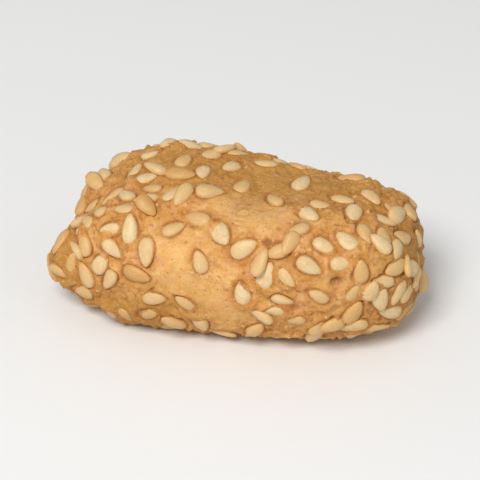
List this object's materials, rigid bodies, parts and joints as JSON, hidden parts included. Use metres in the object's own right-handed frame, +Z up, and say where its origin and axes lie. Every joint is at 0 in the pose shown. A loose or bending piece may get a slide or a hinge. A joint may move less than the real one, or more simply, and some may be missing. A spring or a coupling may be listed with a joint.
{
  "type": "sesame cookie",
  "caption": "Small oblong baked cookie, rolled in sesame seeds, with one pinched corner and a flat base to rest on.",
  "frame": {"origin": "middle of the flat resting face, under the centre of the bounding box", "axes": "+X along the cookie from its pinched corner to its blunt end, +Y from its front face to its back, +Z up"},
  "size_m": [0.0432, 0.0232, 0.0175],
  "materials": {
    "dough": "matt baked dough with a fine crumb, golden with toasted edges",
    "sesame_seed": "smooth hulled sesame seeds with a faint oily sheen"
  },
  "bodies": {
    "root": {"sesame_cookie": "dough"}
  },
  "joints": []
}
